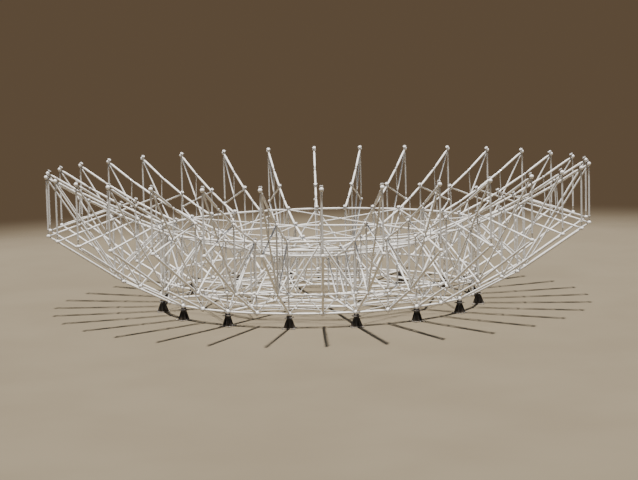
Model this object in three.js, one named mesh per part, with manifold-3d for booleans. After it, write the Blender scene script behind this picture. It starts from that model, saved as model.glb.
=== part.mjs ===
// The steel back frame of a 40 m radio telescope dish, set down on a ring of dark support stubs.
// Flat radial trusses carry the dish surface. A ring girder ties them together, and every fourth one
// runs on past it to the hub ring, with hoops between these main trusses.
// Millimetres, +Z up. The origin is on the ground at the dish axis, and the first truss points to -Y.
import * as THREE from "three";
import { mergeVertices } from "three/addons/utils/BufferGeometryUtils.js";
import Module from "manifold-3d";

// Driving dimensions of the dish
const TRUSS_COUNT = 32;
const MAIN_COUNT = 8;
const FIRST_MAIN = 1;
const FOCAL_LENGTH = 15000;
const DISH_LOW_POINT = 3620;
const RIM_LOWER_HEIGHT = 5900;
const HAUNCH_LOWER_HEIGHT = 2750;
const BASE_HEIGHT = 1000;

// Radii of the panel points of a truss, the same on its upper and its lower chord
const RIM_RADIUS = 19750;
const HAUNCH_RADIUS = 15100;
const GIRDER_RADIUS = 11700;
const MIDDLE_RADIUS = 8800;
const INNER_RADIUS = 5900;
const HUB_RADIUS = 3000;

// How far a short truss reaches in past the ring girder
const SHORT_END = 150;

// Rim node, a plate in the plane of its truss that reaches from under the chord to its panel seat
const RIM_NODE_WIDTH = 400;
const RIM_NODE_FOOT = -200;
const RIM_NODE_HEAD = 360;
const RIM_NODE_THICKNESS = 200;

// Bars
const TRUSS_THICKNESS = 160;
const CHORD_WIDTH = 180;
const WEB_WIDTH = 140;
const HOOP_WIDTH = 140;
const LACING_WIDTH = 110;
const SEAT_GAP = 0.3;

// Ring girder
const GIRDER_MIDDLE_HEIGHT = 2300;
const LACING_OFFSET = 260;

// Support stubs, one under every second truss
const PLATE_THICKNESS = 40;
const FOOT_PLATE_SIZE = 900;
const CAP_PLATE_SIZE = 560;
const COLUMN_SIZE = 320;
const GUSSET_REACH = 230;
const GUSSET_SHARE = 0.8;
const GUSSET_THICKNESS = 30;

const PAINTED_STEEL = { color: 0xe6e3da, roughness: 0.55, metalness: 0.1 };
const DARK_STEEL = { color: 0x1b1c1f, roughness: 0.7, metalness: 0.2 };

const BAY_ANGLE = (2 * Math.PI) / TRUSS_COUNT;
const MAIN_STEP = TRUSS_COUNT / MAIN_COUNT;
const MERGE_DISTANCE = 0.01;

const wasm = await Module();
wasm.setup();

// A closed geometry as a solid that can be joined and cut
function solid(geometry) {
  const bare = geometry.clone();
  bare.deleteAttribute("normal");
  bare.deleteAttribute("uv");
  const merged = mergeVertices(bare, MERGE_DISTANCE);
  return new wasm.Manifold(
    new wasm.Mesh({
      numProp: 3,
      vertProperties: merged.attributes.position.array,
      triVerts: new Uint32Array(merged.index.array),
    }),
  );
}

// A solid as a geometry again, with its flat faces free of needless points
function geometryOf(whole) {
  const mesh = whole.asOriginal().simplify(MERGE_DISTANCE).getMesh();
  const geometry = new THREE.BufferGeometry();
  geometry.setAttribute(
    "position",
    new THREE.BufferAttribute(mesh.vertProperties, 3),
  );
  geometry.setIndex(new THREE.BufferAttribute(mesh.triVerts, 1));
  geometry.computeVertexNormals();
  return geometry;
}

// Several overlapping geometries joined into one
function joined(geometries) {
  return geometryOf(geometries.map(solid).reduce((sum, piece) => sum.add(piece)));
}

// A geometry with holes cut in it
function cut(geometry, holes) {
  return geometryOf(
    holes.map(solid).reduce((rest, hole) => rest.subtract(hole), solid(geometry)),
  );
}

// A flat upright plate whose outline lies in the plane of X and Z
function plateGeometry(outline, thickness) {
  return new THREE.ExtrudeGeometry(new THREE.Shape(outline), {
    depth: thickness,
    bevelEnabled: false,
  })
    .translate(0, 0, -thickness / 2)
    .rotateX(Math.PI / 2);
}

// Height of the dish's paraboloid at a radius
function dishHeight(radius) {
  return DISH_LOW_POINT + radius ** 2 / (4 * FOCAL_LENGTH);
}

// Panel points of one truss, as radius and height, from the rim inwards
const PANEL_RADII = [
  RIM_RADIUS,
  HAUNCH_RADIUS,
  GIRDER_RADIUS,
  MIDDLE_RADIUS,
  INNER_RADIUS,
  HUB_RADIUS,
];
const UPPER = PANEL_RADII.map(
  (radius) => new THREE.Vector2(radius, dishHeight(radius)),
);
const LOWER = PANEL_RADII.map((radius) => {
  const heights = new Map([
    [RIM_RADIUS, RIM_LOWER_HEIGHT],
    [HAUNCH_RADIUS, HAUNCH_LOWER_HEIGHT],
  ]);
  return new THREE.Vector2(radius, heights.get(radius) ?? BASE_HEIGHT);
});

// Width of the bar between two panel points
function barWidth(from, to) {
  const chords = [UPPER, LOWER];
  return chords.some((chord) => chord.includes(from) && chord.includes(to))
    ? CHORD_WIDTH
    : WEB_WIDTH;
}

// Where two lines cross, each given by a point and a direction
function crossing(pointA, directionA, pointB, directionB) {
  const along =
    pointB.clone().sub(pointA).cross(directionB) / directionA.cross(directionB);
  return pointA.clone().addScaledVector(directionA, along);
}

// A counter-clockwise polygon with each side moved outwards by its own shift
function movedPolygon(corners, shifts) {
  const count = corners.length;
  const edges = corners.map((start, i) => {
    const end = corners[(i + 1) % count];
    const direction = end.clone().sub(start).normalize();
    const outward = new THREE.Vector2(direction.y, -direction.x);
    return {
      point: start.clone().addScaledVector(outward, shifts[i]),
      direction,
    };
  });
  return edges.map((edge, i) => {
    const before = edges[(i + count - 1) % count];
    return crossing(before.point, before.direction, edge.point, edge.direction);
  });
}

// Half the width of the truss bar along each side of a polygon of panel points
function halfBars(corners) {
  return corners.map((start, i) => {
    const end = corners[(i + 1) % corners.length];
    return barWidth(start, end) / 2;
  });
}

// The node at the tip of a truss
function rimNodeGeometry() {
  const side = RIM_NODE_WIDTH / 2;
  const end = RIM_NODE_WIDTH / 4;
  const outline = [
    [-end, RIM_NODE_FOOT],
    [end, RIM_NODE_FOOT],
    [side, -end],
    [side, end],
    [end, RIM_NODE_HEAD],
    [-end, RIM_NODE_HEAD],
    [-side, end],
    [-side, -end],
  ];
  const slope = Math.atan(RIM_RADIUS / (2 * FOCAL_LENGTH));
  return plateGeometry(
    outline.map(([x, y]) => new THREE.Vector2(x, y)),
    RIM_NODE_THICKNESS,
  )
    .rotateY(-slope)
    .translate(RIM_RADIUS, 0, dishHeight(RIM_RADIUS));
}

// One flat radial truss: its outline with a hole for every cell of the lattice, and its rim node
function trussGeometry() {
  const [rim, haunch, girder, middle, inner, hub] = UPPER;
  const [lowRim, lowHaunch, base, lowMiddle, lowInner, lowHub] = LOWER;
  const cross = crossing(
    rim,
    lowHaunch.clone().sub(rim),
    haunch,
    lowRim.clone().sub(haunch),
  );
  const cells = [
    [rim, haunch, cross],
    [haunch, lowHaunch, cross],
    [lowHaunch, lowRim, cross],
    [lowRim, rim, cross],
    [haunch, girder, lowHaunch],
    [girder, base, lowHaunch],
    [girder, middle, base],
    [middle, lowMiddle, base],
    [middle, inner, lowMiddle],
    [inner, lowInner, lowMiddle],
    [inner, hub, lowInner],
    [hub, lowHub, lowInner],
  ];
  const outline = [...UPPER, lowHub, base, lowHaunch, lowRim];
  const sheet = plateGeometry(
    movedPolygon(outline, halfBars(outline)),
    TRUSS_THICKNESS,
  );
  const holes = cells.map((cell) => {
    const inwards = halfBars(cell).map((half) => -half);
    return plateGeometry(movedPolygon(cell, inwards), 2 * TRUSS_THICKNESS);
  });
  return joined([cut(sheet, holes), rimNodeGeometry()]);
}

// A truss that ends just inside the ring girder
function shortTrussGeometry() {
  const end = GIRDER_RADIUS - SHORT_END;
  const inside = new THREE.BoxGeometry(
    end,
    2 * TRUSS_THICKNESS,
    2 * dishHeight(RIM_RADIUS),
  ).translate(end / 2, 0, 0);
  return cut(trussGeometry(), [inside]);
}

// A closed ring with a corner in the plane of every truss or of every main one
function ringGeometry(section, corners = TRUSS_COUNT) {
  const first = corners === MAIN_COUNT ? FIRST_MAIN : 0;
  return new THREE.LatheGeometry([...section, section[0]], corners)
    .rotateX(Math.PI / 2)
    .rotateZ(first * BAY_ANGLE);
}

// A hoop of square section around a point, the section turned by tilt
function hoopGeometry([radius, height], tilt, corners, width = HOOP_WIDTH) {
  const half = width / 2;
  const centre = new THREE.Vector2(radius, height);
  const section = [
    [-half, -half],
    [half, -half],
    [half, half],
    [-half, half],
  ];
  return ringGeometry(
    section.map(([x, y]) =>
      new THREE.Vector2(x, y)
        .rotateAround(new THREE.Vector2(), tilt)
        .add(centre),
    ),
    corners,
  );
}

// The space between the bars of a ring wall, centred on the plane of a truss, or half a bay on
function wallHole(outline, shifts, radius, bays, depth = 5 * HOOP_WIDTH) {
  return plateGeometry(movedPolygon(outline, shifts), depth)
    .translate(0, -radius, 0)
    .rotateZ(bays * BAY_ANGLE);
}

// A bar of square section between two points, with one face turned away from the dish axis
function barGeometry(from, to, width) {
  const middle = from.clone().lerp(to, 0.5);
  const length = from.distanceTo(to);
  const along = to.clone().sub(from).normalize();
  const outward = new THREE.Vector3(middle.x, middle.y, 0);
  const across = along.clone().cross(outward).normalize();
  const face = across.clone().cross(along);
  const place = new THREE.Matrix4().makeBasis(across, along, face);
  return new THREE.BoxGeometry(width, length, width)
    .applyMatrix4(place)
    .translate(middle.x, middle.y, middle.z);
}

// A point on a hoop's straight stretch, given by a corner's number and the way along the hoop from it
function hoopPoint(corner, along, radius, height, bays = 1) {
  const at = (number) => {
    const angle = number * BAY_ANGLE;
    return new THREE.Vector3(
      radius * Math.sin(angle),
      -radius * Math.cos(angle),
      height,
    );
  };
  const start = at(corner);
  const towards = at(corner + bays * Math.sign(along)).sub(start).normalize();
  return start.addScaledVector(towards, Math.abs(along));
}

// Where a hoop lies on top of the upper chord at one of its panel points, and the slope that it takes there
function seatOnUpperChord(index) {
  const [outer, point, inner] = UPPER.slice(index - 1, index + 2);
  const slopes = [outer.clone().sub(point), point.clone().sub(inner)].map(
    (direction) => direction.angle(),
  );
  const tilt = (slopes[0] + slopes[1]) / 2;
  const valley = (HOOP_WIDTH / 2) * Math.tan((slopes[0] - slopes[1]) / 2);
  const lift = (CHORD_WIDTH + HOOP_WIDTH) / 2 + valley + SEAT_GAP;
  const place = [
    point.x - lift * Math.sin(tilt),
    point.y + lift * Math.cos(tilt),
  ];
  return { place, tilt };
}

// Height of a hoop that lies under the level lower chord
const UNDER_CHORD = BASE_HEIGHT - CHORD_WIDTH / 2 - SEAT_GAP - HOOP_WIDTH / 2;

// The wall that stands on the stubs: two hoops with a lacing bar up to the middle of each bay from both sides
function baseWallGeometry(topRadius) {
  const half = HOOP_WIDTH / 2;
  const bottom = UNDER_CHORD - half;
  const top = GIRDER_MIDDLE_HEIGHT + half;
  const wall = ringGeometry([
    new THREE.Vector2(GIRDER_RADIUS - half, bottom),
    new THREE.Vector2(GIRDER_RADIUS + half, bottom),
    new THREE.Vector2(topRadius + half, top),
    new THREE.Vector2(topRadius - half, top),
  ]);
  const point = (x, y) => new THREE.Vector2(x, y);
  const halfBay = GIRDER_RADIUS * Math.tan(BAY_ANGLE / 2);
  const foot = LACING_OFFSET;
  const lacing = -LACING_WIDTH / 2;
  const overTruss = [
    point(-foot, UNDER_CHORD),
    point(foot, UNDER_CHORD),
    point(halfBay, GIRDER_MIDDLE_HEIGHT),
    point(-halfBay, GIRDER_MIDDLE_HEIGHT),
  ];
  const underHead = [
    point(foot - halfBay, UNDER_CHORD),
    point(halfBay - foot, UNDER_CHORD),
    point(0, GIRDER_MIDDLE_HEIGHT),
  ];
  const holes = [];
  for (let truss = 0; truss < TRUSS_COUNT; truss += 1)
    holes.push(
      wallHole(overTruss, [-half, lacing, -half, lacing], GIRDER_RADIUS, truss),
      wallHole(underHead, [-half, lacing, lacing], GIRDER_RADIUS, truss + 0.5),
    );
  return cut(wall, holes);
}

// The whole ring girder: the wall on the stubs, the outer upper hoop, and a zigzag up to it from the wall
function ringGirderGeometry() {
  const upper = seatOnUpperChord(2);
  const wallFoot = UNDER_CHORD - HOOP_WIDTH / 2;
  const wallHead = GIRDER_MIDDLE_HEIGHT - HOOP_WIDTH / 2;
  const inset = HOOP_WIDTH / 2 + WEB_WIDTH / 2 + SEAT_GAP;
  const radiusAt = (height) =>
    GIRDER_RADIUS - (inset * (height - wallFoot)) / (wallHead - wallFoot);
  const pieces = [
    baseWallGeometry(radiusAt(GIRDER_MIDDLE_HEIGHT + HOOP_WIDTH / 2)),
    hoopGeometry(upper.place, upper.tilt, TRUSS_COUNT),
  ];
  const low = [radiusAt(GIRDER_MIDDLE_HEIGHT), GIRDER_MIDDLE_HEIGHT];
  for (let truss = 0; truss < TRUSS_COUNT; truss += 2)
    for (const way of [-1, 1])
      pieces.push(
        barGeometry(
          hoopPoint(truss, way * LACING_OFFSET, ...upper.place),
          hoopPoint(truss + way, -way * LACING_OFFSET, ...low),
          WEB_WIDTH,
        ),
      );
  return joined(pieces);
}

// The quarter of a ring that faces -Y, cut half a gap short of the planes of its end trusses
function quarterGeometry(ring) {
  const reach = 2 * GIRDER_RADIUS;
  const apex = -SEAT_GAP / Math.SQRT2;
  const wedge = new THREE.ExtrudeGeometry(
    new THREE.Shape([
      new THREE.Vector2(0, apex),
      new THREE.Vector2(-reach, apex - reach),
      new THREE.Vector2(reach, apex - reach),
    ]),
    { depth: GIRDER_RADIUS, bevelEnabled: false },
  );
  return geometryOf(solid(ring).intersect(solid(wedge)));
}

// The middle upper hoop, with crosses between the main trusses that end against the ring girder
function bracedHoopGeometry() {
  const inner = seatOnUpperChord(3);
  const outer = seatOnUpperChord(2);
  const pieces = [hoopGeometry(inner.place, inner.tilt, MAIN_COUNT)];
  for (let truss = FIRST_MAIN; truss < TRUSS_COUNT; truss += MAIN_STEP)
    for (const way of [-1, 1])
      pieces.push(
        barGeometry(
          hoopPoint(truss, way * LACING_OFFSET, ...inner.place, MAIN_STEP),
          hoopPoint(truss + way * MAIN_STEP, -way * LACING_OFFSET, ...outer.place),
          LACING_WIDTH,
        ),
      );
  const clearance = HOOP_WIDTH + 2 * SEAT_GAP;
  const end = hoopGeometry(outer.place, outer.tilt, TRUSS_COUNT, clearance);
  return cut(joined(pieces), [end]);
}

// The hub ring: a wall of two hoops and a zigzag, against the inner ends of the main trusses
function hubRingGeometry() {
  const half = HOOP_WIDTH / 2;
  const radius = HUB_RADIUS - WEB_WIDTH / 2 - half - SEAT_GAP;
  const top = dishHeight(HUB_RADIUS);
  const section = [
    new THREE.Vector2(radius - half, BASE_HEIGHT - half),
    new THREE.Vector2(radius + half, BASE_HEIGHT - half),
    new THREE.Vector2(radius + half, top + half),
    new THREE.Vector2(radius - half, top + half),
  ];
  const wall = ringGeometry(section, MAIN_COUNT);
  const bay = radius * Math.sin(MAIN_STEP * BAY_ANGLE);
  const foot = LACING_WIDTH;
  const lacing = -LACING_WIDTH / 2;
  const shifts = [-half, lacing, -half, lacing];
  const point = (x, y) => new THREE.Vector2(x, y);
  const underHead = [
    point(foot - bay, BASE_HEIGHT),
    point(bay - foot, BASE_HEIGHT),
    point(foot, top),
    point(-foot, top),
  ];
  const overFoot = [
    point(-foot, BASE_HEIGHT),
    point(foot, BASE_HEIGHT),
    point(bay - foot, top),
    point(foot - bay, top),
  ];
  const holes = [];
  for (let head = FIRST_MAIN; head < TRUSS_COUNT; head += 2 * MAIN_STEP)
    holes.push(
      wallHole(underHead, shifts, radius, head, radius),
      wallHole(overFoot, shifts, radius, head + MAIN_STEP, radius),
    );
  return cut(wall, holes);
}

// One support stub, standing on the ground at its own origin, with +X away from the dish axis
function supportGeometry() {
  const topHeight = UNDER_CHORD - HOOP_WIDTH / 2 - SEAT_GAP;
  const columnTop = topHeight - PLATE_THICKNESS;
  const columnHeight = columnTop - PLATE_THICKNESS;
  const plate = (size, thickness, bottom) =>
    new THREE.BoxGeometry(size, size, thickness).translate(
      0,
      0,
      bottom + thickness / 2,
    );
  const overlap = PLATE_THICKNESS / 4;
  const pieces = [
    plate(FOOT_PLATE_SIZE, PLATE_THICKNESS, 0),
    plate(COLUMN_SIZE, columnHeight + 2 * overlap, PLATE_THICKNESS - overlap),
    plate(CAP_PLATE_SIZE, PLATE_THICKNESS, columnTop),
  ];
  const start = COLUMN_SIZE / 2 - overlap;
  const gusset = [
    new THREE.Vector2(start, PLATE_THICKNESS - overlap),
    new THREE.Vector2(start + GUSSET_REACH, PLATE_THICKNESS - overlap),
    new THREE.Vector2(start, columnHeight * GUSSET_SHARE),
  ];
  for (let quarter = 0; quarter < 4; quarter += 1)
    pieces.push(
      plateGeometry(gusset, GUSSET_THICKNESS).rotateZ((quarter * Math.PI) / 2),
    );
  return joined(pieces);
}

// A named mesh
function mesh(name, geometry, material) {
  const made = new THREE.Mesh(geometry, material);
  made.name = name;
  return made;
}

// A name with a two-digit number
function numbered(name, number) {
  return `${name}_${String(number).padStart(2, "0")}`;
}

function radialTrusses() {
  const group = new THREE.Group();
  const main = trussGeometry();
  const short = shortTrussGeometry();
  for (let truss = 0; truss < TRUSS_COUNT; truss += 1) {
    const made = mesh(
      numbered("radial_truss", truss + 1),
      truss % MAIN_STEP === FIRST_MAIN ? main : short,
      new THREE.MeshStandardMaterial(PAINTED_STEEL),
    );
    made.rotation.z = truss * BAY_ANGLE - Math.PI / 2;
    group.add(made);
  }
  return group;
}

function rings() {
  const group = new THREE.Group();
  const upperInner = seatOnUpperChord(4);
  const shapes = {
    upper_hoop_middle: bracedHoopGeometry(),
    upper_hoop_inner: hoopGeometry(upperInner.place, upperInner.tilt, MAIN_COUNT),
    lower_hoop_middle: hoopGeometry([MIDDLE_RADIUS, UNDER_CHORD], 0, MAIN_COUNT),
    lower_hoop_inner: hoopGeometry([INNER_RADIUS, UNDER_CHORD], 0, MAIN_COUNT),
    hub_ring: hubRingGeometry(),
  };
  for (const [name, geometry] of Object.entries(shapes))
    group.add(mesh(name, geometry, new THREE.MeshStandardMaterial(PAINTED_STEEL)));
  return group;
}

// The four quarters of the ring girder, spliced over the trusses on the diagonals
function girderQuarters() {
  const group = new THREE.Group();
  const geometry = quarterGeometry(ringGirderGeometry());
  for (const [quarter, side] of ["front", "right", "back", "left"].entries()) {
    const made = mesh(
      `ring_girder_${side}`,
      geometry,
      new THREE.MeshStandardMaterial(PAINTED_STEEL),
    );
    made.rotation.z = (quarter * Math.PI) / 2;
    group.add(made);
  }
  return group;
}

function supports() {
  const group = new THREE.Group();
  const geometry = supportGeometry();
  for (let truss = 1; truss < TRUSS_COUNT; truss += 2) {
    const angle = truss * BAY_ANGLE - Math.PI / 2;
    const made = mesh(
      numbered("support", (truss + 1) / 2),
      geometry,
      new THREE.MeshStandardMaterial(DARK_STEEL),
    );
    made.position.set(
      GIRDER_RADIUS * Math.cos(angle),
      GIRDER_RADIUS * Math.sin(angle),
      0,
    );
    made.rotation.z = angle;
    group.add(made);
  }
  return group;
}

const group = new THREE.Group();
group.add(radialTrusses(), girderQuarters(), rings(), supports());

export default group;
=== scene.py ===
"""The steel back frame of a 40 m radio telescope dish, dressed for rendering.

Flat radial trusses of round tubes meet in ball nodes. A ring girder ties all of them together. Every fourth
one is a main truss that runs on to the hub ring, with hoops and crosses between the main ones. The frame
stands on sixteen dark stubs. Metres, +Z up, the dish axis on Z, the first truss towards -Y.
"""

import logging
import math
from collections.abc import Callable, Iterator, Sequence
from dataclasses import dataclass, field
from enum import Enum

import bmesh
import bpy
from mathutils import Matrix, Vector


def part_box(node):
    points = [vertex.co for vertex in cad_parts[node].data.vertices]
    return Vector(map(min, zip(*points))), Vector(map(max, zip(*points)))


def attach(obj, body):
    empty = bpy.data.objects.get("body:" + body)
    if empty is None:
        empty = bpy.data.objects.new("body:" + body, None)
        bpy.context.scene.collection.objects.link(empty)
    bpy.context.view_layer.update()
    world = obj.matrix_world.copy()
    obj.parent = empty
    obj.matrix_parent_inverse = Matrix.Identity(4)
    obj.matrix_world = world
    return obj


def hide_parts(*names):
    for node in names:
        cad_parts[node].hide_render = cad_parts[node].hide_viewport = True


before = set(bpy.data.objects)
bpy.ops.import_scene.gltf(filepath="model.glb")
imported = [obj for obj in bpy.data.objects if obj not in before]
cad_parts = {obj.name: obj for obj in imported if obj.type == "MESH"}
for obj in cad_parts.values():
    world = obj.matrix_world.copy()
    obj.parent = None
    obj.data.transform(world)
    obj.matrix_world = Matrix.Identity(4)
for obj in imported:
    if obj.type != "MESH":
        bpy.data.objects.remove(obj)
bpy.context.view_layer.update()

LOG = logging.getLogger("dish_frame")
TRUSS_COUNT = 32
MAIN_STEP = 4
MAIN_TRUSSES = range(1, TRUSS_COUNT, MAIN_STEP)
BAY_ANGLE = math.tau / TRUSS_COUNT
FIRST_TRUSS_ANGLE = -math.pi / 2
UP = Vector((0, 0, 1))
NEARLY_UPRIGHT = 0.95
HEXAGON = 6
BALL_SIDES = 14
# Faces that meet at less than the flat angle are one face, and at more than the sharp one have a hard edge
FLAT_ANGLE = 0.01
SHARP_ANGLE = math.radians(33)

Colour = tuple[float, float, float]
Triple = tuple[float, float, float]
Span = tuple[float, float]
Socket = bpy.types.NodeSocket
Outline = Sequence[tuple[float, float]]


class Slot(Enum):
    """Material slots of the record."""

    WHITE_PAINT = "white_paint"
    DARK_STEEL = "dark_steel"


@dataclass(frozen=True)
class Patches:
    """Patches of noise: how many there are in a metre, and between which noise values they fade in."""

    scale: float
    fade: Span
    detail: float = 3.0
    stretch: Triple | None = None


@dataclass(frozen=True)
class Bump:
    """A relief: how strong it is and how deep, in metres."""

    strength: float
    depth: float


@dataclass(frozen=True)
class Grain:
    """The fine relief of a finish: features in a metre, finer layers, and its bump."""

    scale: float
    detail: float
    bump: Bump


class NodeGraph:
    """Wires the nodes of a material or of the backdrop."""

    def __init__(self, owner: bpy.types.Material | bpy.types.World) -> None:
        """Starts with the owner's own nodes.

        Args:
            owner: The material or backdrop that the nodes belong to.
        """
        owner.use_nodes = True
        self.tree = owner.node_tree

    def add(self, kind: str, **settings: object) -> bpy.types.Node:
        """Adds a node.

        Args:
            kind: The node's type name.
            **settings: Properties to set on it.

        Returns:
            The new node.
        """
        node = self.tree.nodes.new(kind)
        for name, value in settings.items():
            setattr(node, name, value)
        return node

    def feed(self, socket: Socket, value: object) -> None:
        """Gives an input either a value or a link.

        Args:
            socket: The input.
            value: Another node's output, a number or a colour.
        """
        if isinstance(value, bpy.types.NodeSocket):
            self.tree.links.new(value, socket)
        elif isinstance(value, tuple):
            socket.default_value = (*value, 1.0)
        else:
            socket.default_value = value

    def ramp(self, value: Socket, start: float, end: float, low: float = 0.0, high: float = 1.0) -> Socket:
        """Stretches a range of a value to another range.

        Args:
            value: What is stretched.
            start: Where the range starts.
            end: Where the range ends.
            low: The result at the start.
            high: The result at the end.

        Returns:
            The stretched value, held inside low and high.
        """
        node = self.add("ShaderNodeMapRange", interpolation_type="SMOOTHSTEP")
        for name, number in (("From Min", start), ("From Max", end), ("To Min", low), ("To Max", high)):
            node.inputs[name].default_value = number
        self.feed(node.inputs["Value"], value)
        return node.outputs["Result"]

    def times(self, first: Socket, second: Socket | float) -> Socket:
        """Multiplies two values.

        Args:
            first: One value.
            second: The other, or a number.

        Returns:
            Their product.
        """
        node = self.add("ShaderNodeMath", operation="MULTIPLY")
        self.feed(node.inputs[0], first)
        self.feed(node.inputs[1], second)
        return node.outputs[0]

    def blend(self, share: Socket, first: Socket | Colour, second: Socket | Colour) -> Socket:
        """Mixes two colours.

        Args:
            share: How much of the second shows.
            first: The colour at no share.
            second: The colour at full share.

        Returns:
            The mixed colour.
        """
        node = self.add("ShaderNodeMix", data_type="RGBA")
        self.feed(node.inputs["Factor"], share)
        self.feed(node.inputs[6], first)
        self.feed(node.inputs[7], second)
        return node.outputs[2]


class ShaderGraph(NodeGraph):
    """Wires the nodes of one procedural material."""

    def __init__(self, name: str) -> None:
        """Starts a material.

        Args:
            name: The material's name.
        """
        self.material = bpy.data.materials.new(name)
        super().__init__(self.material)
        self.shader = self.tree.nodes["Principled BSDF"]
        self.place = self.add("ShaderNodeTexCoord").outputs["Object"]

    def noise(self, scale: float, detail: float, stretch: Triple | None = None) -> Socket:
        """Adds noise in the frame's own metres.

        Args:
            scale: How many features there are in a metre.
            detail: How many finer layers it has.
            stretch: A scale for each axis, for streaks.

        Returns:
            The noise, from 0 to 1.
        """
        place = self.place
        if stretch is not None:
            mapping = self.add("ShaderNodeMapping")
            mapping.inputs["Scale"].default_value = stretch
            self.feed(mapping.inputs["Vector"], place)
            place = mapping.outputs["Vector"]
        node = self.add("ShaderNodeTexNoise")
        self.feed(node.inputs["Vector"], place)
        node.inputs["Scale"].default_value = scale
        node.inputs["Detail"].default_value = detail
        return node.outputs["Fac"]

    def patches(self, form: Patches, low: float = 0.0, high: float = 1.0) -> Socket:
        """Adds patches of noise.

        Args:
            form: Their scale and edges.
            low: The result between them.
            high: The result on them.

        Returns:
            The patches, from low to high.
        """
        return self.ramp(self.noise(form.scale, form.detail, form.stretch), *form.fade, low, high)

    def facing_up(self, start: float, end: float) -> Socket:
        """Finds the faces that point up.

        Args:
            start: How far up a face points where the result is 0, from -1 to 1.
            end: How far up it points where the result is 1.

        Returns:
            The share, from 0 to 1.
        """
        split = self.add("ShaderNodeSeparateXYZ")
        self.feed(split.inputs[0], self.add("ShaderNodeNewGeometry").outputs["Normal"])
        return self.ramp(split.outputs["Z"], start, end)

    def height(self, start: float, end: float) -> Socket:
        """Finds a zone of heights.

        Args:
            start: The height where the result is 0.
            end: The height where it is 1.

        Returns:
            The share, from 0 to 1.
        """
        split = self.add("ShaderNodeSeparateXYZ")
        self.feed(split.inputs[0], self.place)
        return self.ramp(split.outputs["Z"], start, end)

    def each_shell(self) -> Socket:
        """Returns a random number for each separate tube, ball or plate."""
        return self.add("ShaderNodeNewGeometry").outputs["Random Per Island"]

    def relief(self, height: Socket, bump: Bump) -> None:
        """Adds bump to the shader.

        Args:
            height: The relief, from 0 to 1.
            bump: How strong and how deep it is.
        """
        node = self.add("ShaderNodeBump")
        node.inputs["Strength"].default_value = bump.strength
        node.inputs["Distance"].default_value = bump.depth
        self.feed(node.inputs["Height"], height)
        self.feed(self.shader.inputs["Normal"], node.outputs["Normal"])

    def grain(self, form: Grain) -> None:
        """Adds the fine relief of a finish."""
        self.relief(self.noise(form.scale, form.detail), form.bump)


@dataclass(frozen=True)
class WeatheredPaint:
    """White site paint with settled dust, run-off streaks and small rust spots."""

    name: str
    colour: Colour
    shade: Colour
    roughness: Span
    dust_cover: float
    dust: Colour = (0.60, 0.50, 0.37)
    dust_slope: Span = (0.15, 0.95)
    dust_patches: Patches = Patches(1.4, (0.36, 0.66))
    streak: Colour = (0.42, 0.37, 0.30)
    streak_cover: float = 0.48
    streak_patches: Patches = Patches(1.0, (0.56, 0.76), 5.0, (7.0, 7.0, 0.7))
    rust: Colour = (0.23, 0.085, 0.03)
    rust_cover: float = 0.6
    rust_spots: Patches = Patches(17.0, (0.70, 0.78), 4.0)
    dull_patches: Patches = Patches(5.0, (0.3, 0.7))
    brush_marks: Grain = Grain(90.0, 2.0, Bump(0.12, 0.002))

    def material(self) -> bpy.types.Material:
        """Makes the finish.

        Returns:
            The finished material.
        """
        graph = ShaderGraph(self.name)
        coat = graph.blend(graph.each_shell(), self.shade, self.colour)
        dusty = graph.times(graph.facing_up(*self.dust_slope), graph.patches(self.dust_patches))
        coat = graph.blend(graph.times(dusty, self.dust_cover), coat, self.dust)
        streaky = graph.times(graph.patches(self.streak_patches), self.streak_cover)
        coat = graph.blend(streaky, coat, self.streak)
        rusty = graph.times(graph.patches(self.rust_spots), self.rust_cover)
        coat = graph.blend(rusty, coat, self.rust)
        graph.feed(graph.shader.inputs["Base Color"], coat)
        graph.feed(graph.shader.inputs["Roughness"], graph.patches(self.dull_patches, *self.roughness))
        graph.grain(self.brush_marks)
        return graph.material


@dataclass(frozen=True)
class ZincedSteel:
    """Zinced sleeves, nuts and bolts, with a fine spangle."""

    name: str
    light: Colour
    dark: Colour
    metal: float = 0.85
    roughness: Span = (0.34, 0.58)
    spangle_scale: float = 70.0
    spangle_fade: Span = (0.1, 0.7)
    spangle_bump: Bump = Bump(0.08, 0.001)
    tarnish: Patches = Patches(6.0, (0.42, 0.7))

    def material(self) -> bpy.types.Material:
        """Makes the finish.

        Returns:
            The finished material.
        """
        graph = ShaderGraph(self.name)
        spangle = graph.add("ShaderNodeTexVoronoi", feature="F1")
        graph.feed(spangle.inputs["Vector"], graph.place)
        spangle.inputs["Scale"].default_value = self.spangle_scale
        tone = graph.ramp(spangle.outputs["Distance"], *self.spangle_fade)
        tarnish = graph.patches(self.tarnish)
        coat = graph.blend(graph.times(tone, tarnish), self.light, self.dark)
        graph.feed(graph.shader.inputs["Base Color"], coat)
        graph.shader.inputs["Metallic"].default_value = self.metal
        graph.feed(graph.shader.inputs["Roughness"], graph.ramp(tarnish, 0.0, 1.0, *self.roughness))
        graph.relief(tone, self.spangle_bump)
        return graph.material


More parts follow.
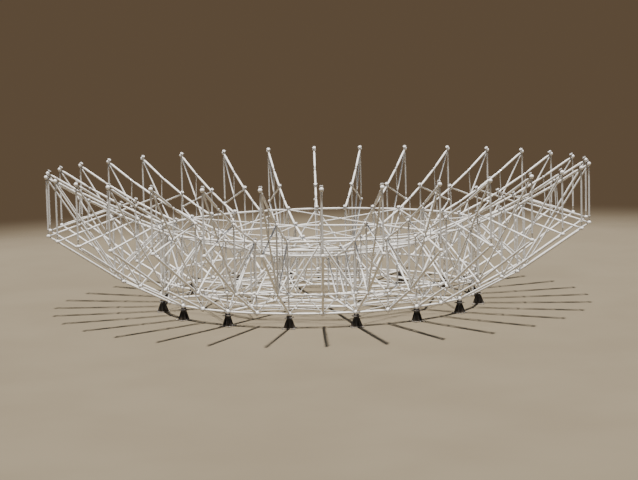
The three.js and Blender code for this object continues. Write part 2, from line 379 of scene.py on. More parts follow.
@dataclass(frozen=True)
class DarkCoatAndPaintedShade:
    """Near-black on the stubs, partly their dark coating and partly painted shade from the frame above,
    dusty on its flats and near the ground, with rust coming through.
    """

    name: str
    colour: Colour
    worn: Colour
    wear: Patches = Patches(4.0, (0.35, 0.65))
    rust: Colour = (0.16, 0.06, 0.025)
    rust_cover: float = 0.7
    rust_patches: Patches = Patches(9.0, (0.60, 0.74), 5.0)
    dust: Colour = (0.36, 0.30, 0.22)
    dust_cover: float = 0.55
    dust_slope: Span = (0.4, 0.95)
    dust_patches: Patches = Patches(6.0, (0.3, 0.7))
    splash_height: float = 0.35
    splash_cover: float = 0.5
    splash_patches: Patches = Patches(11.0, (0.35, 0.7))
    roughness: Span = (0.48, 0.85)
    pitting: Grain = Grain(60.0, 4.0, Bump(0.25, 0.002))

    def material(self) -> bpy.types.Material:
        """Makes the finish.

        Returns:
            The finished material.
        """
        graph = ShaderGraph(self.name)
        # The near-black base colour is partly painted shade: the shade that the frame above casts on the
        # stubs.
        coat = graph.blend(graph.patches(self.wear), self.colour, self.worn)
        rusty = graph.patches(self.rust_patches)
        coat = graph.blend(graph.times(rusty, self.rust_cover), coat, self.rust)
        dusty = graph.times(graph.facing_up(*self.dust_slope), graph.patches(self.dust_patches))
        coat = graph.blend(graph.times(dusty, self.dust_cover), coat, self.dust)
        splashed = graph.times(graph.height(self.splash_height, 0.0), graph.patches(self.splash_patches))
        coat = graph.blend(graph.times(splashed, self.splash_cover), coat, self.dust)
        graph.feed(graph.shader.inputs["Base Color"], coat)
        graph.feed(graph.shader.inputs["Roughness"], graph.ramp(rusty, 0.0, 1.0, *self.roughness))
        graph.grain(self.pitting)
        return graph.material


@dataclass(frozen=True)
class StudioFloor:
    """A plain pale floor that fades out far from the frame."""

    name: str
    colour: Colour
    patch: Colour
    fade: Span
    patches: Patches = Patches(0.12, (0.3, 0.7))
    roughness: float = 0.9

    def material(self) -> bpy.types.Material:
        """Makes the finish.

        Returns:
            The finished material.
        """
        graph = ShaderGraph(self.name)
        tone = graph.blend(graph.patches(self.patches), self.colour, self.patch)
        graph.feed(graph.shader.inputs["Base Color"], tone)
        graph.shader.inputs["Roughness"].default_value = self.roughness
        length = graph.add("ShaderNodeVectorMath", operation="LENGTH")
        graph.feed(length.inputs[0], graph.place)
        shown = graph.ramp(length.outputs["Value"], *self.fade, 1.0, 0.0)
        graph.feed(graph.shader.inputs["Alpha"], shown)
        return graph.material


class Coat(Enum):
    """What a shell of steel is finished with."""

    TUBE = WeatheredPaint("tube_paint", (0.88, 0.87, 0.84), (0.77, 0.765, 0.74), (0.36, 0.6), 0.34)
    BALL = WeatheredPaint("ball_paint", (0.91, 0.90, 0.88), (0.84, 0.83, 0.81), (0.26, 0.45), 0.22)
    ZINC = ZincedSteel("zinced_steel", (0.60, 0.61, 0.62), (0.33, 0.34, 0.36))
    # The stubs' near-black colour is partly painted shade, for the shade that the frame above casts on them.
    DARK = DarkCoatAndPaintedShade("stub_coating_and_shade", (0.022, 0.022, 0.025), (0.045, 0.043, 0.042))


MATERIALS = {coat: coat.value.material() for coat in Coat}


@dataclass(frozen=True)
class Tube:
    """A round tube with a cone and a screwed six-sided sleeve at each end."""

    radius: float
    sides: int = 12
    cone_length: float = 0.26
    neck_share: float = 0.5
    sleeve_radius: float = 0.046
    sleeve_length: float = 0.08
    bead: float = 0.006
    end_chamfer: float = 0.012
    longest_cone_share: float = 0.3
    sleeve_start_share: float = 0.94
    sleeve_overlap: float = 0.01


class Bar(Enum):
    """The tubes that the frame is made of."""

    CHORD = Tube(0.082, 14)
    WEB = Tube(0.064)
    HOOP = Tube(0.08)
    LACING = Tube(0.042, 10, 0.2, 0.62, 0.031, 0.07)
    STRUT = Tube(0.036, 10, 0.16, 0.7, 0.029, 0.06)
    ROD = Tube(0.02, 8, 0.1, 0.85, 0.026, 0.09)


class SteelMesh:
    """Collects closed shells of steel and makes one piece of them."""

    def __init__(self) -> None:
        """Starts with nothing in it."""
        self.points: list[Vector] = []
        self.faces: list[tuple[int, ...]] = []
        self.coats: list[Coat] = []

    def shell(self, points: Sequence[Vector], faces: Sequence[tuple[int, ...]], coat: Coat) -> None:
        """Adds one closed shell.

        Args:
            points: Its corners.
            faces: Its faces, as numbers of corners.
            coat: What it is finished with.
        """
        start = len(self.points)
        self.points.extend(points)
        self.faces.extend(tuple(start + corner for corner in face) for face in faces)
        self.coats.extend(coat for _ in faces)

    def turned(self, foot: Vector, axis: Vector, outline: Outline, sides: int, coat: Coat) -> None:
        """Adds a solid of revolution.

        Args:
            foot: Where its axis starts.
            axis: The way the axis runs.
            outline: Distance along the axis and radius, from one end to the other.
            sides: How many sides it has.
            coat: What it is finished with.
        """
        along = axis.normalized()
        aside = along.cross(UP if abs(along.z) < NEARLY_UPRIGHT else Vector((0, 1, 0))).normalized()
        across = along.cross(aside)
        turns = [math.tau * (side + 0.5) / sides for side in range(sides)]
        spokes = [aside * math.cos(turn) + across * math.sin(turn) for turn in turns]
        points: list[Vector] = []
        rings: list[list[int]] = []
        for distance, radius in outline:
            centre = foot + along * distance
            first = len(points)
            points.extend([centre] if radius == 0 else [centre + spoke * radius for spoke in spokes])
            rings.append([first] * sides if radius == 0 else list(range(first, first + sides)))
        faces: list[tuple[int, ...]] = []
        for low, high in zip(rings, rings[1:]):
            for side in range(sides):
                follow = (side + 1) % sides
                corners = (low[side], low[follow], high[follow], high[side])
                faces.append(tuple(dict.fromkeys(corners)))
        if outline[0][1] > 0:
            faces.append(tuple(reversed(rings[0])))
        if outline[-1][1] > 0:
            faces.append(tuple(rings[-1]))
        self.shell(points, faces, coat)

    def ball(self, centre: Vector, radius: float) -> None:
        """Adds a ball node.

        Args:
            centre: Its centre.
            radius: Its radius.
        """
        steps = BALL_SIDES // 2
        tilts = [math.pi * step / steps for step in range(steps + 1)]
        outline = [(-radius * math.cos(tilt), radius * math.sin(tilt)) for tilt in tilts]
        outline[0] = (-radius, 0)
        outline[-1] = (radius, 0)
        self.turned(centre, UP, outline, BALL_SIDES, Coat.BALL)

    def bar(self, start: Vector, end: Vector, kind: Bar, balls: tuple[float, float]) -> None:
        """Adds a tube between two nodes, with its cones, weld beads and sleeves.

        Args:
            start: The centre of the first node.
            end: The centre of the second node.
            kind: Which tube it is.
            balls: The radii of the balls at its ends.
        """
        tube = kind.value
        axis = end - start
        length = axis.length
        reach = []
        for ball, foot, way in ((balls[0], start, axis), (balls[1], end, -axis)):
            inside = ball * tube.sleeve_start_share
            seat = ball + tube.sleeve_length
            outline = [(inside, tube.sleeve_radius), (seat + tube.sleeve_overlap, tube.sleeve_radius)]
            self.turned(foot, way, outline, HEXAGON, Coat.ZINC)
            reach.append(seat)
        clear = length - reach[0] - reach[1]
        cone = min(tube.cone_length, tube.longest_cone_share * clear)
        neck = tube.radius * tube.neck_share
        bead = tube.bead
        end_form = [
            (0.0, neck),
            (tube.end_chamfer, neck + bead),
            (cone, tube.radius),
            (cone + bead, tube.radius + bead),
            (cone + 3 * bead, tube.radius + bead),
            (cone + 4 * bead, tube.radius),
        ]
        outline = [(reach[0] + distance, radius) for distance, radius in end_form]
        outline += [(length - reach[1] - distance, radius) for distance, radius in reversed(end_form)]
        self.turned(start, axis, outline, tube.sides, Coat.TUBE)

    def hull(self, points: Sequence[Vector], coat: Coat) -> None:
        """Adds the convex shell around some points.

        Args:
            points: The points.
            coat: What it is finished with.
        """
        work = bmesh.new()
        for point in points:
            work.verts.new(point)
        bmesh.ops.convex_hull(work, input=work.verts[:])
        bmesh.ops.dissolve_limit(work, angle_limit=FLAT_ANGLE, verts=work.verts[:], edges=work.edges[:])
        loose = [vertex for vertex in work.verts if not vertex.link_faces]
        bmesh.ops.delete(work, geom=loose, context="VERTS")
        bmesh.ops.recalc_face_normals(work, faces=work.faces[:])
        work.verts.index_update()
        faces = [tuple(vertex.index for vertex in face.verts) for face in work.faces]
        self.shell([vertex.co.copy() for vertex in work.verts], faces, coat)
        work.free()

    def block(self, place: Matrix, size: Triple, edge: float, coat: Coat) -> None:
        """Adds a box with broken edges.

        Args:
            place: Where its centre is and how it is turned.
            size: Its three sides.
            edge: How far its edges are cut back.
            coat: What it is finished with.
        """
        corners = []
        for signs in ((x, y, z) for x in (-1, 1) for y in (-1, 1) for z in (-1, 1)):
            for full in range(3):
                half = [side / 2 - (0 if axis == full else edge) for axis, side in enumerate(size)]
                corners.append(place @ Vector([sign * reach for sign, reach in zip(signs, half)]))
        self.hull(corners, coat)

    def wedge(self, place: Matrix, outline: Outline, thickness: float, coat: Coat) -> None:
        """Adds a flat convex plate.

        Args:
            place: Turns the plate's own plane, X and Z, into place.
            outline: Its corners in that plane.
            thickness: How thick it is.
            coat: What it is finished with.
        """
        sides = (-thickness / 2, thickness / 2)
        self.hull([place @ Vector((x, side, z)) for x, z in outline for side in sides], coat)

    def piece(
        self, name: str, slot: Slot, replaced: Sequence[str] = (), turn: float = 0.0
    ) -> bpy.types.Object:
        """Makes the piece and puts it on the part.

        Args:
            name: The piece's name.
            slot: The record's material slot for the piece; it is not used.
            replaced: The CAD nodes that it stands for.
            turn: How far it is turned about the dish axis.

        Returns:
            The new object.
        """
        mesh = bpy.data.meshes.new(name)
        mesh.from_pydata(self.points, [], self.faces)
        used = [coat for coat in Coat if coat in set(self.coats)]
        for coat in used:
            mesh.materials.append(MATERIALS[coat])
        places = {coat: place for place, coat in enumerate(used)}
        mesh.polygons.foreach_set("material_index", [places[coat] for coat in self.coats])
        mesh.polygons.foreach_set("use_smooth", [True] * len(self.faces))
        mesh.set_sharp_from_angle(angle=SHARP_ANGLE)
        mesh.transform(Matrix.Rotation(turn, 4, "Z"))
        mesh.validate()
        made = bpy.data.objects.new(name, mesh)
        bpy.context.scene.collection.objects.link(made)
        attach(made, "root")
        if replaced:
            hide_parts(*replaced)
        return made


def bay_turn(number: float) -> float:
    """Returns the angle of a truss about the dish axis, from its number, where the first is 0."""
    return FIRST_TRUSS_ANGLE + number * BAY_ANGLE


def on_truss(number: float, point: Vector) -> Vector:
    """Returns where a point of a truss lies.

    Args:
        number: The truss's number, where the first is 0 and half numbers lie between two.
        point: The point's radius and height.

    Returns:
        The point in the frame.
    """
    angle = bay_turn(number)
    return Vector((point.x * math.cos(angle), point.x * math.sin(angle), point.y))


@dataclass(frozen=True)
class DishProfile:
    """The lines that the trusses follow, as radius and height."""

    rim_radius: float = 19.75
    haunch_radius: float = 15.1
    girder_radius: float = 11.7
    middle_radius: float = 8.8
    inner_radius: float = 5.9
    hub_radius: float = 3.0
    rim_lower_height: float = 5.9
    haunch_lower_height: float = 2.75
    base_height: float = 1.0
    girder_middle_height: float = 2.3
    focal_length: float = 15.0
    low_point: float = 3.62

    def dish(self, radius: float) -> Vector:
        """Returns the point of the dish's paraboloid at a radius."""
        return Vector((radius, self.low_point + radius**2 / (4 * self.focal_length)))

    def normal(self, radius: float) -> Vector:
        """Returns the way the dish's surface faces at a radius, as radius and height."""
        return Vector((-radius / (2 * self.focal_length), 1)).normalized()

    def level(self, radius: float) -> Vector:
        """Returns the point of the level lower chord at a radius."""
        return Vector((radius, self.base_height))


class Reach(Enum):
    """How far in from the rim a truss reaches."""

    TO_HUB = "main"
    TO_GIRDER = "short"


class Joint(Enum):
    """The ball nodes of a truss, with their radii."""

    RIM = 0.15
    MAIN = 0.145
    LOWER = 0.14
    BASE = 0.18
    POST = 0.125
    SUB = 0.09
    HUB = 0.12


@dataclass
class PanelSeat:
    """The screw seat on an upper node, on which the dish's surface panels are set later."""

    collar_start_share: float = 0.9
    collar_radius: float = 0.0675
    collar_height: float = 0.03
    collar_chamfer: float = 0.005
    stem_radius: float = 0.05
    stem_height: float = 0.07
    stem_sides: int = 10
    plate_radius: float = 0.14
    plate_thickness: float = 0.02
    plate_edge: float = 0.004
    plate_sides: int = 16
    bolt_circle_share: float = 0.68
    bolt_radius: float = 0.013
    bolt_height: float = 0.07
    nut_radius: float = 0.024
    nut_height: float = 0.022
    nut_bite: float = 0.002

    def add_to(self, mesh: SteelMesh, centre: Vector, normal: Vector, ball: float, scale: float) -> None:
        """Adds the seat to a mesh.

        Args:
            mesh: The mesh.
            centre: The centre of the node's ball.
            normal: The way the dish's surface faces.
            ball: The ball's radius.
            scale: How large the plate is.
        """
        top = ball + self.stem_height
        collar_top = ball + self.collar_height
        stem = [
            (ball * self.collar_start_share, self.collar_radius),
            (collar_top, self.collar_radius),
            (collar_top + self.collar_chamfer, self.stem_radius),
            (top, self.stem_radius),
        ]
        mesh.turned(centre, normal, stem, self.stem_sides, Coat.ZINC)
        radius = self.plate_radius * scale
        face = top + self.plate_thickness
        plate = [
            (top, radius - self.plate_edge),
            (top + self.plate_edge, radius),
            (face - self.plate_edge, radius),
            (face, radius - self.plate_edge),
        ]
        mesh.turned(centre, normal, plate, self.plate_sides, Coat.BALL)
        aside = normal.cross(Vector((0, 1, 0))).normalized()
        for quarter in range(4):
            spoke = Matrix.Rotation(math.pi / 4 + quarter * math.pi / 2, 3, normal) @ aside
            foot = centre + normal * face + spoke * radius * self.bolt_circle_share
            nut = [(-self.nut_bite, self.nut_radius), (self.nut_height, self.nut_radius)]
            mesh.turned(foot, normal, nut, HEXAGON, Coat.ZINC)
            bolt = [(0.0, self.bolt_radius), (self.bolt_height, self.bolt_radius)]
            mesh.turned(foot, normal, bolt, HEXAGON, Coat.ZINC)


# The webs and struts of a truss, from node to node
WEB_BARS = (
    ("rim", "low_rim"),
    ("haunch", "low_haunch"),
    ("girder", "post"),
    ("post", "base"),
    ("middle", "low_middle"),
    ("inner", "low_inner"),
    ("hub", "low_hub"),
    ("rim", "cross"),
    ("cross", "low_haunch"),
    ("haunch", "cross"),
    ("cross", "low_rim"),
    ("girder", "brace"),
    ("brace", "low_haunch"),
    ("middle", "base"),
    ("inner", "low_middle"),
    ("hub", "low_inner"),
)
STRUTS = (("outer_sub", "cross"), ("inner_sub", "brace"))


@dataclass
class RadialTruss:
    """A flat truss: two chords, a cross-braced outer bay, posts and diagonals."""

    profile: DishProfile
    reach: Reach
    seat: PanelSeat = field(default_factory=PanelSeat)
    sub_share: float = 0.5
    rim_seat_scale: float = 0.95

    def __post_init__(self) -> None:
        """Works out the truss's nodes, as radius and height."""
        lines = self.profile
        rim, haunch, girder = lines.rim_radius, lines.haunch_radius, lines.girder_radius
        self.upper: dict[str, tuple[Vector, Joint]] = {
            "rim": (lines.dish(rim), Joint.RIM),
            "outer_sub": (lines.dish(rim + (haunch - rim) * self.sub_share), Joint.SUB),
            "haunch": (lines.dish(haunch), Joint.MAIN),
            "inner_sub": (lines.dish(haunch + (girder - haunch) * self.sub_share), Joint.SUB),
            "girder": (lines.dish(girder), Joint.MAIN),
        }
        self.lower: dict[str, tuple[Vector, Joint]] = {
            "low_rim": (Vector((rim, lines.rim_lower_height)), Joint.LOWER),
            "low_haunch": (Vector((haunch, lines.haunch_lower_height)), Joint.LOWER),
            "base": (lines.level(girder), Joint.BASE),
        }
        if self.reach is Reach.TO_HUB:
            self.upper["middle"] = (lines.dish(lines.middle_radius), Joint.MAIN)
            self.upper["inner"] = (lines.dish(lines.inner_radius), Joint.MAIN)
            self.upper["hub"] = (lines.dish(lines.hub_radius), Joint.HUB)
            self.lower["low_middle"] = (lines.level(lines.middle_radius), Joint.LOWER)
            self.lower["low_inner"] = (lines.level(lines.inner_radius), Joint.LOWER)
            self.lower["low_hub"] = (lines.level(lines.hub_radius), Joint.HUB)
        self.inside: dict[str, tuple[Vector, Joint]] = {
            "cross": (self.cross_point(), Joint.SUB),
            "brace": ((self.upper["girder"][0] + self.lower["low_haunch"][0]) / 2, Joint.SUB),
            "post": (Vector((girder, lines.girder_middle_height)), Joint.POST),
        }

    def cross_point(self) -> Vector:
        """Works out where the two diagonals of the outer bay cross.

        Returns:
            Their crossing, as radius and height.
        """
        rim, low_haunch = self.upper["rim"][0], self.lower["low_haunch"][0]
        haunch, low_rim = self.upper["haunch"][0], self.lower["low_rim"][0]
        falling, rising = low_haunch - rim, low_rim - haunch
        share = (haunch - rim).cross(rising) / falling.cross(rising)
        return rim + falling * share

    def bars(self) -> Iterator[tuple[str, str, Bar]]:
        """Lists the truss's bars.

        Yields:
            Each bar's two nodes and its tube.
        """
        for chord in (self.upper, self.lower):
            names = list(chord)
            yield from ((start, end, Bar.CHORD) for start, end in zip(names, names[1:]))
        nodes = {*self.upper, *self.lower, *self.inside}
        yield from ((start, end, Bar.WEB) for start, end in WEB_BARS if {start, end} <= nodes)
        yield from ((start, end, Bar.STRUT) for start, end in STRUTS)

    def meshes(self) -> tuple[SteelMesh, SteelMesh, SteelMesh]:
        """Makes a truss that points along +X.

        Returns:
            Its tubes, its ball nodes and its panel seats.
        """
        nodes = {**self.upper, **self.lower, **self.inside}
        places = {name: Vector((point.x, 0, point.y)) for name, (point, _) in nodes.items()}
        tubes, balls, seats = SteelMesh(), SteelMesh(), SteelMesh()
        for start, end, kind in self.bars():
            sizes = (nodes[start][1].value, nodes[end][1].value)
            tubes.bar(places[start], places[end], kind, sizes)
        for name, (_, joint) in nodes.items():
            balls.ball(places[name], joint.value)
        for name, (point, joint) in self.upper.items():
            if joint is Joint.SUB:
                continue
            facing = self.profile.normal(point.x)
            scale = self.rim_seat_scale if name == "rim" else 1.0
            self.seat.add_to(seats, places[name], Vector((facing.x, 0, facing.y)), joint.value, scale)
        return tubes, balls, seats

    def build(self) -> Iterator[bpy.types.Object]:
        """Makes every truss of this reach.

        Yields:
            Each truss's three pieces.
        """
        tubes, balls, seats = self.meshes()
        to_hub = self.reach is Reach.TO_HUB
        for number in range(TRUSS_COUNT):
            if (number in MAIN_TRUSSES) is not to_hub:
                continue
            name = f"truss_{number + 1:02d}"
            turn = bay_turn(number)
            yield tubes.piece(f"{name}_tubes", Slot.WHITE_PAINT, [f"radial_{name}"], turn)
            yield balls.piece(f"{name}_ball_nodes", Slot.WHITE_PAINT, (), turn)
            yield seats.piece(f"{name}_panel_seats", Slot.WHITE_PAINT, (), turn)


@dataclass
class RingGirder:
    """The girder over the stubs: three hoops, a deep zigzag and the lacing of its base wall."""

    profile: DishProfile

    def quarter(self, first: int, last: int) -> SteelMesh:
        """Makes the bays between two trusses.

        Args:
            first: The truss where they start.
            last: The truss where they end.

        Returns:
            Their mesh.
        """
        lines = self.profile
        top = lines.dish(lines.girder_radius)
        middle = Vector((lines.girder_radius, lines.girder_middle_height))
        base = lines.level(lines.girder_radius)
        half_way = math.cos(BAY_ANGLE / 2)
        knot = Vector((middle.x * half_way, middle.y))
        mesh = SteelMesh()
        for bay in range(first, last):
            even, odd = (bay, bay + 1) if bay % 2 == 0 else (bay + 1, bay)
            mesh.bar(on_truss(bay, top), on_truss(bay + 1, top), Bar.HOOP, (Joint.MAIN.value,) * 2)
            mesh.bar(on_truss(bay, base), on_truss(bay + 1, base), Bar.HOOP, (Joint.BASE.value,) * 2)
            zigzag = on_truss(even, top), on_truss(odd, middle)
            mesh.bar(*zigzag, Bar.WEB, (Joint.MAIN.value, Joint.POST.value))
            centre = on_truss(bay + 0.5, knot)
            mesh.ball(centre, Joint.POST.value)
            for truss in (bay, bay + 1):
                mesh.bar(on_truss(truss, middle), centre, Bar.HOOP, (Joint.POST.value,) * 2)
                mesh.bar(on_truss(truss, base), centre, Bar.LACING, (Joint.BASE.value, Joint.POST.value))
        return mesh

    def build(self) -> Iterator[bpy.types.Object]:
        """Makes the four quarters.

        Yields:
            Each quarter's piece.
        """
        bays = TRUSS_COUNT // 4
        for number, side in enumerate(("front", "right", "back", "left")):
            first = number * bays - bays // 2
            mesh = self.quarter(first, first + bays)
            yield mesh.piece(f"girder_{side}_tubes", Slot.WHITE_PAINT, [f"ring_girder_{side}"])


@dataclass
class TieHoops:
    """The upper and lower hoops between the main trusses."""

    profile: DishProfile

    def build(self) -> Iterator[bpy.types.Object]:
        """Makes the hoops.

        Yields:
            Each hoop's piece.
        """
        lines = self.profile
        hoops = {
            "upper_hoop_middle": lines.dish(lines.middle_radius),
            "upper_hoop_inner": lines.dish(lines.inner_radius),
            "lower_hoop_middle": lines.level(lines.middle_radius),
            "lower_hoop_inner": lines.level(lines.inner_radius),
        }
        for node, point in hoops.items():
            mesh = SteelMesh()
            for truss in MAIN_TRUSSES:
                ends = on_truss(truss, point), on_truss(truss + MAIN_STEP, point)
                mesh.bar(*ends, Bar.HOOP, (Joint.MAIN.value,) * 2)
            yield mesh.piece(f"{node}_tubes", Slot.WHITE_PAINT, [node])


class Plane(Enum):
    """The two planes that light crosses stiffen."""

    SURFACE = "surface"
    BASE = "base"


class Ring(Enum):
    """The rings of crosses, from the ring girder to the hub."""

    OUTER = "outer"
    MIDDLE = "middle"
    INNER = "inner"


@dataclass
class PlaneBracing:
    """Light crosses between the main trusses, in the dish's surface and in the level base."""

    profile: DishProfile

    def crosses(self, outer: Vector, inner: Vector, sizes: tuple[float, float], bar: Bar) -> SteelMesh:
        """Makes a ring of crosses, each with a small node where its bars meet.

        Args:
            outer: The radius and height of their outer ends.
            inner: The radius and height of their inner ends.
            sizes: The radii of the balls at the outer and inner ends.
            bar: The tube that they are made of.

        Returns:
            Their mesh.
        """
        mesh = SteelMesh()
        share = outer.x / (outer.x + inner.x)
        for truss in MAIN_TRUSSES:
            beside = truss + MAIN_STEP
            centre = on_truss(truss, outer).lerp(on_truss(beside, inner), share)
            mesh.ball(centre, Joint.SUB.value)
            for end in (truss, beside):
                mesh.bar(on_truss(end, outer), centre, bar, (sizes[0], Joint.SUB.value))
                mesh.bar(on_truss(end, inner), centre, bar, (sizes[1], Joint.SUB.value))
        return mesh

    def build(self) -> Iterator[bpy.types.Object]:
        """Makes the rings of crosses.

        Yields:
            Each ring's piece.
        """
        lines = self.profile
        planes: dict[Plane, Callable[[float], Vector]] = {Plane.SURFACE: lines.dish, Plane.BASE: lines.level}
        bars = {(Plane.SURFACE, Ring.OUTER): Bar.LACING, (Plane.SURFACE, Ring.MIDDLE): Bar.STRUT}
        for plane, at in planes.items():
            ends = (
                (at(lines.girder_radius), Joint.MAIN if plane is Plane.SURFACE else Joint.BASE),
                (at(lines.middle_radius), Joint.MAIN),
                (at(lines.inner_radius), Joint.MAIN),
                (at(lines.hub_radius), Joint.HUB),
            )
            for ring, (outer, inner) in zip(Ring, zip(ends, ends[1:])):
                bar = bars.get((plane, ring), Bar.ROD)
                mesh = self.crosses(outer[0], inner[0], (outer[1].value, inner[1].value), bar)
                yield mesh.piece(f"{plane.value}_bracing_{ring.value}", Slot.WHITE_PAINT)


@dataclass
class HubRing:
    """The two hoops and the zigzag that join the inner ends of the main trusses."""

    profile: DishProfile

    def build(self) -> Iterator[bpy.types.Object]:
        """Makes the hub ring.

        Yields:
            Its one piece.
        """
        lines = self.profile
        top = lines.dish(lines.hub_radius)
        foot = lines.level(lines.hub_radius)
        sizes = (Joint.HUB.value,) * 2
        mesh = SteelMesh()
        for order, truss in enumerate(MAIN_TRUSSES):
            beside = truss + MAIN_STEP
            high, low = (truss, beside) if order % 2 == 0 else (beside, truss)
            mesh.bar(on_truss(truss, top), on_truss(beside, top), Bar.HOOP, sizes)
            mesh.bar(on_truss(truss, foot), on_truss(beside, foot), Bar.HOOP, sizes)
            mesh.bar(on_truss(high, top), on_truss(low, foot), Bar.LACING, sizes)
        yield mesh.piece("hub_ring_tubes", Slot.WHITE_PAINT, ["hub_ring"])


@dataclass
class Anchors:
    """The eight anchor bolts of a foot plate, in a square, each with its washer and nut."""

    circle: float = 0.38
    washer: Outline = ((-0.002, 0.034), (0.005, 0.034))
    washer_sides: int = 14
    nut: Outline = ((0.004, 0.026), (0.028, 0.026))
    bolt: Outline = ((0.02, 0.015), (0.062, 0.015), (0.066, 0.011))
    bolt_sides: int = 8

    def add_to(self, mesh: SteelMesh, centre: Vector) -> None:
        """Adds them to a mesh.

        Args:
            mesh: The mesh.
            centre: The middle of the foot plate's upper face.
        """
        for x in (-1, 0, 1):
            for y in (-1, 0, 1):
                if x == 0 and y == 0:
                    continue
                foot = centre + Vector((x, y, 0)) * self.circle
                mesh.turned(foot, UP, self.washer, self.washer_sides, Coat.ZINC)
                mesh.turned(foot, UP, self.nut, HEXAGON, Coat.ZINC)
                mesh.turned(foot, UP, self.bolt, self.bolt_sides, Coat.ZINC)


@dataclass
class SupportStub:
    """A dark stub with a foot plate, gussets, a cap plate and a cup for the ball above it."""

    profile: DishProfile
    plate: float = 0.04
    plate_edge: float = 0.006
    foot_size: float = 0.9
    cap_size: float = 0.56
    column_size: float = 0.32
    column_edge: float = 0.025
    weld: float = 0.01
    shim_share: float = 0.82
    shim: float = 0.014
    shim_edge: float = 0.004
    gusset_reach: float = 0.25
    gusset_toe: float = 0.04
    gusset_head: float = 0.05
    gusset_height_share: float = 0.8
    gusset_thickness: float = 0.015
    gusset_offset: float = 0.09
    cup_radius: float = 0.185
    cup_chamfer: float = 0.01
    cup_bite: float = 0.005
    cup_sides: int = 20
    cup_drop_share: float = 0.6
    anchors: Anchors = field(default_factory=Anchors)

    def mesh(self) -> SteelMesh:
        """Makes a stub that stands under a truss along +X.

        Returns:
            Its mesh.
        """
        lines = self.profile
        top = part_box("support_01")[1].z
        mesh = SteelMesh()
        centre = Vector((lines.girder_radius, 0, 0))

        def slab(size: float, low: float, high: float, edge: float) -> None:
            """Adds a square block between two heights."""
            place = Matrix.Translation(centre + UP * (low + high) / 2)
            mesh.block(place, (size, size, high - low), edge, Coat.DARK)

        slab(self.foot_size, 0.0, self.plate, self.plate_edge)
        slab(self.column_size, self.plate - self.weld, top - self.plate + self.weld, self.column_edge)
        slab(self.cap_size, top - self.plate, top, self.plate_edge)
        slab(self.cap_size * self.shim_share, top, top + self.shim, self.shim_edge)
        self.add_cup(mesh, centre + UP * (top + self.cup_bite), top)
        self.add_gussets(mesh, centre, top)
        self.anchors.add_to(mesh, centre + UP * self.plate)
        return mesh

    def add_cup(self, mesh: SteelMesh, foot: Vector, top: float) -> None:
        """Adds the cup that the ball sits in.

        Args:
            mesh: The mesh that it is added to.
            foot: Where its axis starts.
            top: The height of the cap plate's upper face.
        """
        bearing = self.profile.base_height - Joint.BASE.value * self.cup_drop_share
        depth = bearing - top
        cup = [
            (0.0, self.cup_radius),
            (depth - self.cup_chamfer, self.cup_radius),
            (depth, self.cup_radius - self.cup_chamfer),
        ]
        mesh.turned(foot, UP, cup, self.cup_sides, Coat.DARK)

    def add_gussets(self, mesh: SteelMesh, centre: Vector, top: float) -> None:
        """Adds two gussets on each side of the column.

        Args:
            mesh: The mesh that they are added to.
            centre: The middle of the stub's foot.
            top: The height of the cap plate's upper face.
        """
        start = self.column_size / 2 - self.weld
        foot = self.plate - self.weld / 2
        head = top * self.gusset_height_share
        outline = [
            (start, foot),
            (start + self.gusset_reach, foot),
            (start + self.gusset_reach, self.plate + self.gusset_toe),
            (start + self.gusset_head, head),
            (start, head),
        ]
        for quarter in range(4):
            for aside in (-self.gusset_offset, self.gusset_offset):
                turn = Matrix.Rotation(quarter * math.pi / 2, 4, "Z")
                place = Matrix.Translation(centre) @ turn @ Matrix.Translation((0, aside, 0))
                mesh.wedge(place, outline, self.gusset_thickness, Coat.DARK)

    def build(self) -> Iterator[bpy.types.Object]:
        """Makes the sixteen stubs.

        Yields:
            Each stub's piece.
        """
        mesh = self.mesh()
        for number in range(TRUSS_COUNT // 2):
            name = f"support_{number + 1:02d}"
            yield mesh.piece(f"{name}_stub", Slot.DARK_STEEL, [name], bay_turn(2 * number + 1))


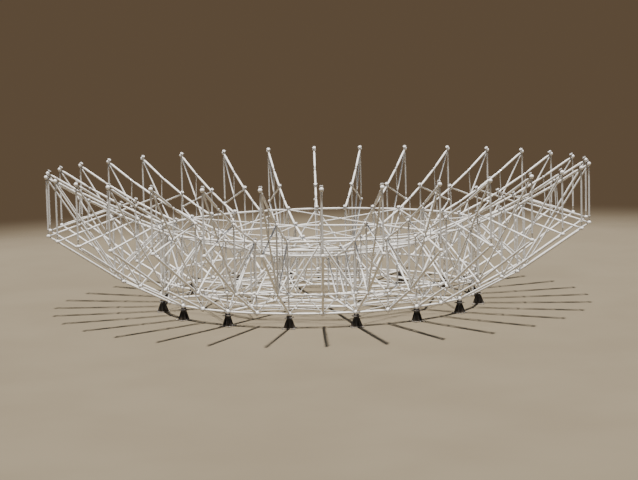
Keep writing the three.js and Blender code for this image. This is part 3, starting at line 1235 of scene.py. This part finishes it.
@dataclass
class Studio:
    """The floor, the light and the camera. The rise and the fall are sines of angles above the horizon."""

    floor_finish: StudioFloor = StudioFloor(
        "floor_finish", (0.150, 0.120, 0.076), (0.137, 0.109, 0.067), (46.0, 78.0)
    )
    floor_radius: float = 85.0
    floor_sides: int = 96
    camera_place: Triple = (-1.553, -135.08, 20.0)
    camera_target: Triple = (0.0, 0.0, 4.7)
    camera_roll: float = math.radians(-1.4)
    camera_lens: float = 104.0
    camera_reach: float = 2000.0
    sun_direction: Triple = (0.015, 0.11, -1.0)
    sun_power: float = 9.5
    sun_colour: Colour = (1.0, 0.975, 0.945)
    sun_softness: float = math.radians(2.0)
    horizon_colour: Colour = (0.115, 0.078, 0.046)
    zenith_colour: Colour = (0.12, 0.16, 0.225)
    zenith_rise: Span = (0.1, 0.7)
    ground_colour: Colour = (0.48, 0.405, 0.272)
    ground_fall: Span = (-0.14, -0.22)

    def floor(self) -> bpy.types.Object:
        """Makes the floor, a flat disc on the ground.

        Returns:
            The disc.
        """
        shape = bmesh.new()
        bmesh.ops.create_circle(shape, cap_ends=True, segments=self.floor_sides, radius=self.floor_radius)
        mesh = bpy.data.meshes.new("studio_floor")
        shape.to_mesh(mesh)
        shape.free()
        mesh.materials.append(self.floor_finish.material())
        made = bpy.data.objects.new("studio_floor", mesh)
        bpy.context.scene.collection.objects.link(made)
        return made

    def light(self) -> None:
        """Sets the high sun and the backdrop."""
        lamp = bpy.data.lights.new("high_sun", "SUN")
        lamp.energy = self.sun_power
        lamp.color = self.sun_colour
        lamp.angle = self.sun_softness
        sun = bpy.data.objects.new("high_sun", lamp)
        sun.rotation_mode = "QUATERNION"
        sun.rotation_quaternion = Vector(self.sun_direction).to_track_quat("-Z", "Y")
        bpy.context.scene.collection.objects.link(sun)
        bpy.context.scene.world = self.backdrop()

    def backdrop(self) -> bpy.types.World:
        """Makes a backdrop that is dim at the horizon, brighter overhead and pale like the floor below.

        Returns:
            The backdrop.
        """
        world = bpy.data.worlds.new("studio_backdrop")
        graph = NodeGraph(world)
        split = graph.add("ShaderNodeSeparateXYZ")
        graph.feed(split.inputs[0], graph.add("ShaderNodeTexCoord").outputs["Generated"])
        rise = split.outputs["Z"]
        colour = graph.blend(graph.ramp(rise, *self.zenith_rise), self.horizon_colour, self.zenith_colour)
        colour = graph.blend(graph.ramp(rise, *self.ground_fall), colour, self.ground_colour)
        graph.feed(graph.tree.nodes["Background"].inputs["Color"], colour)
        return world

    def camera(self) -> None:
        """Sets the camera where the photograph was taken from, aimed at the dish."""
        data = bpy.data.cameras.new("camera")
        data.lens = self.camera_lens
        data.clip_end = self.camera_reach
        made = bpy.data.objects.new("camera", data)
        place = Vector(self.camera_place)
        aim = (Vector(self.camera_target) - place).to_track_quat("-Z", "Y")
        turn = aim.to_matrix().to_4x4() @ Matrix.Rotation(self.camera_roll, 4, "Z")
        made.matrix_world = Matrix.Translation(place) @ turn
        bpy.context.scene.collection.objects.link(made)
        bpy.context.scene.camera = made

    def build(self) -> None:
        """Sets the whole studio."""
        self.floor()
        self.light()
        self.camera()


def main() -> None:
    """Builds every sub-assembly in order and reports each piece."""
    logging.basicConfig(level=logging.INFO, format="%(message)s")
    profile = DishProfile()
    total = 0
    for assembly in (
        RadialTruss(profile, Reach.TO_HUB),
        RadialTruss(profile, Reach.TO_GIRDER),
        RingGirder(profile),
        TieHoops(profile),
        PlaneBracing(profile),
        HubRing(profile),
        SupportStub(profile),
    ):
        for piece in assembly.build():
            triangles = sum(len(face.vertices) - 2 for face in piece.data.polygons)
            total += triangles
            LOG.info("%s: %d triangles", piece.name, triangles)
    LOG.info("all pieces: %d triangles", total)
    Studio().build()


if __name__ == "__main__":
    main()
